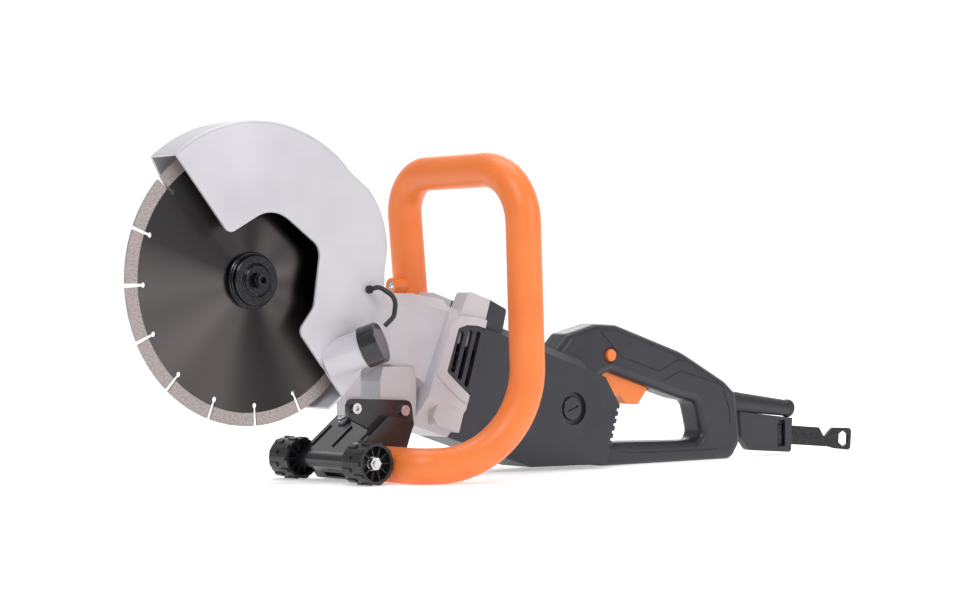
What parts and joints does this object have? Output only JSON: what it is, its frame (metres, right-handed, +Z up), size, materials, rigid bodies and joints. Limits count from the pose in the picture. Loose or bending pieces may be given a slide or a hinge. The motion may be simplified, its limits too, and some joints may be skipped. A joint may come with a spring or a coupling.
{
  "type": "cut-off saw",
  "caption": "Hand-held electric disc cutter with a guarded diamond blade, wrap-round front handle, rear trigger handle, guide rollers and a stored wrench.",
  "frame": {"origin": "on the ground under the middle of the saw's overall box", "axes": "+X from the blade towards the rear handle, +Y to the tool's right-hand side, +Z up"},
  "size_m": [1.1842, 0.2523, 0.388],
  "materials": {
    "lilac_casting": "satin grey lacquer on light-alloy casting",
    "bare_alloy": "as machined",
    "dark_plastic": "fine grained moulding",
    "black_rubber": "soft satin",
    "roller_rubber": "hard moulded roller",
    "orange_rubber": "satin orange over-moulding",
    "orange_plastic": "satin orange",
    "bright_steel": "bright zinc plate",
    "dark_steel": "blackened steel",
    "ground_steel": "ground and hardened",
    "blade_steel": "turned, dark",
    "diamond_segment": "sintered bronze and diamond grit",
    "copper": "enamelled copper",
    "carbon": "graphite block"
  },
  "bodies": {
    "saw_body": {"gearbox_housing": "lilac_casting", "gearbox_cover": "lilac_casting", "gearbox_cover_screws": "bright_steel", "guard_ring": "bare_alloy", "guard_ring_screws": "bright_steel", "spindle_bearings": "ground_steel", "layshaft_bearings": "ground_steel", "armature_bearings": "ground_steel", "bearing_plate": "bare_alloy", "motor_housing": "dark_plastic", "stator_core": "ground_steel", "stator_windings": "copper", "brush_holders": "dark_plastic", "carbon_brushes": "carbon", "brush_springs": "bright_steel", "brush_caps": "dark_plastic", "fan_baffle": "dark_plastic", "vent_louvres": "dark_plastic", "handle_shell_left": "dark_plastic", "handle_shell_right": "dark_plastic", "handle_screws": "bright_steel", "trigger_pin": "bright_steel", "switch_module": "dark_plastic", "soft_start_module": "dark_plastic", "cable_sleeve": "black_rubber", "wrench_holder": "dark_plastic", "front_handle_tube": "bright_steel", "front_handle_grip": "orange_rubber", "front_handle_screw": "bright_steel", "roller_bracket": "dark_plastic", "bracket_screws": "bright_steel", "roller_axle": "bright_steel", "axle_washers": "bright_steel", "axle_nuts": "bright_steel"},
    "blade": {"blade_core": "blade_steel", "blade_segments": "diamond_segment", "outer_flange": "dark_steel", "inner_flange": "dark_steel", "flange_washer": "dark_steel", "blade_bolt": "dark_steel", "spindle": "ground_steel", "crown_gear": "ground_steel"},
    "layshaft": {"layshaft": "ground_steel", "bevel_pinion": "ground_steel", "layshaft_gear": "ground_steel"},
    "armature": {"armature_shaft": "ground_steel", "armature_pinion": "ground_steel", "armature_core": "ground_steel", "armature_windings": "copper", "commutator": "copper", "cooling_fan": "dark_plastic"},
    "guard": {"blade_guard": "lilac_casting", "cap_tether": "black_rubber"},
    "dust_cap": {"dust_cap": "dark_plastic"},
    "trigger": {"trigger": "orange_plastic"},
    "lock_off_button": {"lock_off_button": "dark_plastic"},
    "spindle_lock": {"spindle_lock_button": "dark_steel"},
    "wheel_left": {"wheel_left": "roller_rubber"},
    "wheel_right": {"wheel_right": "roller_rubber"},
    "wrench": {"wrench": "dark_steel"}
  },
  "joints": [
    {"name": "blade_spin", "type": "hinge", "parent": "saw_body", "child": "blade", "pos_m": [-0.4396, -0.0196, 0.221], "axis": [0, 1, 0], "continuous": true},
    {"name": "layshaft_spin", "type": "hinge", "parent": "saw_body", "child": "layshaft", "pos_m": [-0.4396, 0.0669, 0.221], "axis": [0.9548, 0, -0.2974], "continuous": true},
    {"name": "armature_spin", "type": "hinge", "parent": "saw_body", "child": "armature", "pos_m": [-0.4396, 0.0384, 0.221], "axis": [0.9548, 0, -0.2974], "continuous": true},
    {"name": "guard_turn", "type": "hinge", "parent": "saw_body", "child": "guard", "pos_m": [-0.4396, -0.0196, 0.221], "axis": [0, 1, 0], "range_deg": [-25, 25]},
    {"name": "dust_cap_pull", "type": "slide", "parent": "guard", "child": "dust_cap", "axis": [0.5691, -0.7489, 0.3395], "range_m": [0, 0.03]},
    {"name": "trigger_press", "type": "hinge", "parent": "saw_body", "child": "trigger", "pos_m": [0.1214, 0.0384, 0.123], "axis": [0, -1, 0], "range_deg": [0, 7], "stiffness_Nm_per_rad": 0.6, "springref_deg": -5.73},
    {"name": "lock_off_press", "type": "slide", "parent": "saw_body", "child": "lock_off_button", "axis": [0, 1, 0], "range_m": [0, 0.004], "stiffness_N_per_m": 500, "springref_m": -0.002},
    {"name": "spindle_lock_press", "type": "slide", "parent": "saw_body", "child": "spindle_lock", "axis": [0, 0, -1], "range_m": [0, 0.005], "stiffness_N_per_m": 500, "springref_m": -0.003},
    {"name": "wheel_left_spin", "type": "hinge", "parent": "saw_body", "child": "wheel_left", "pos_m": [-0.2936, -0.0321, 0.024], "axis": [0, 1, 0], "continuous": true},
    {"name": "wheel_right_spin", "type": "hinge", "parent": "saw_body", "child": "wheel_right", "pos_m": [-0.2936, 0.1024, 0.024], "axis": [0, 1, 0], "continuous": true},
    {"name": "wrench_pull", "type": "slide", "parent": "saw_body", "child": "wrench", "axis": [0.9969, 0, -0.0785], "range_m": [0, 0.12]}
  ],
  "couplings": [
    {"joint": "layshaft_spin", "follows": "blade_spin", "ratio": 2.5},
    {"joint": "armature_spin", "follows": "blade_spin", "ratio": -6.1364}
  ]
}
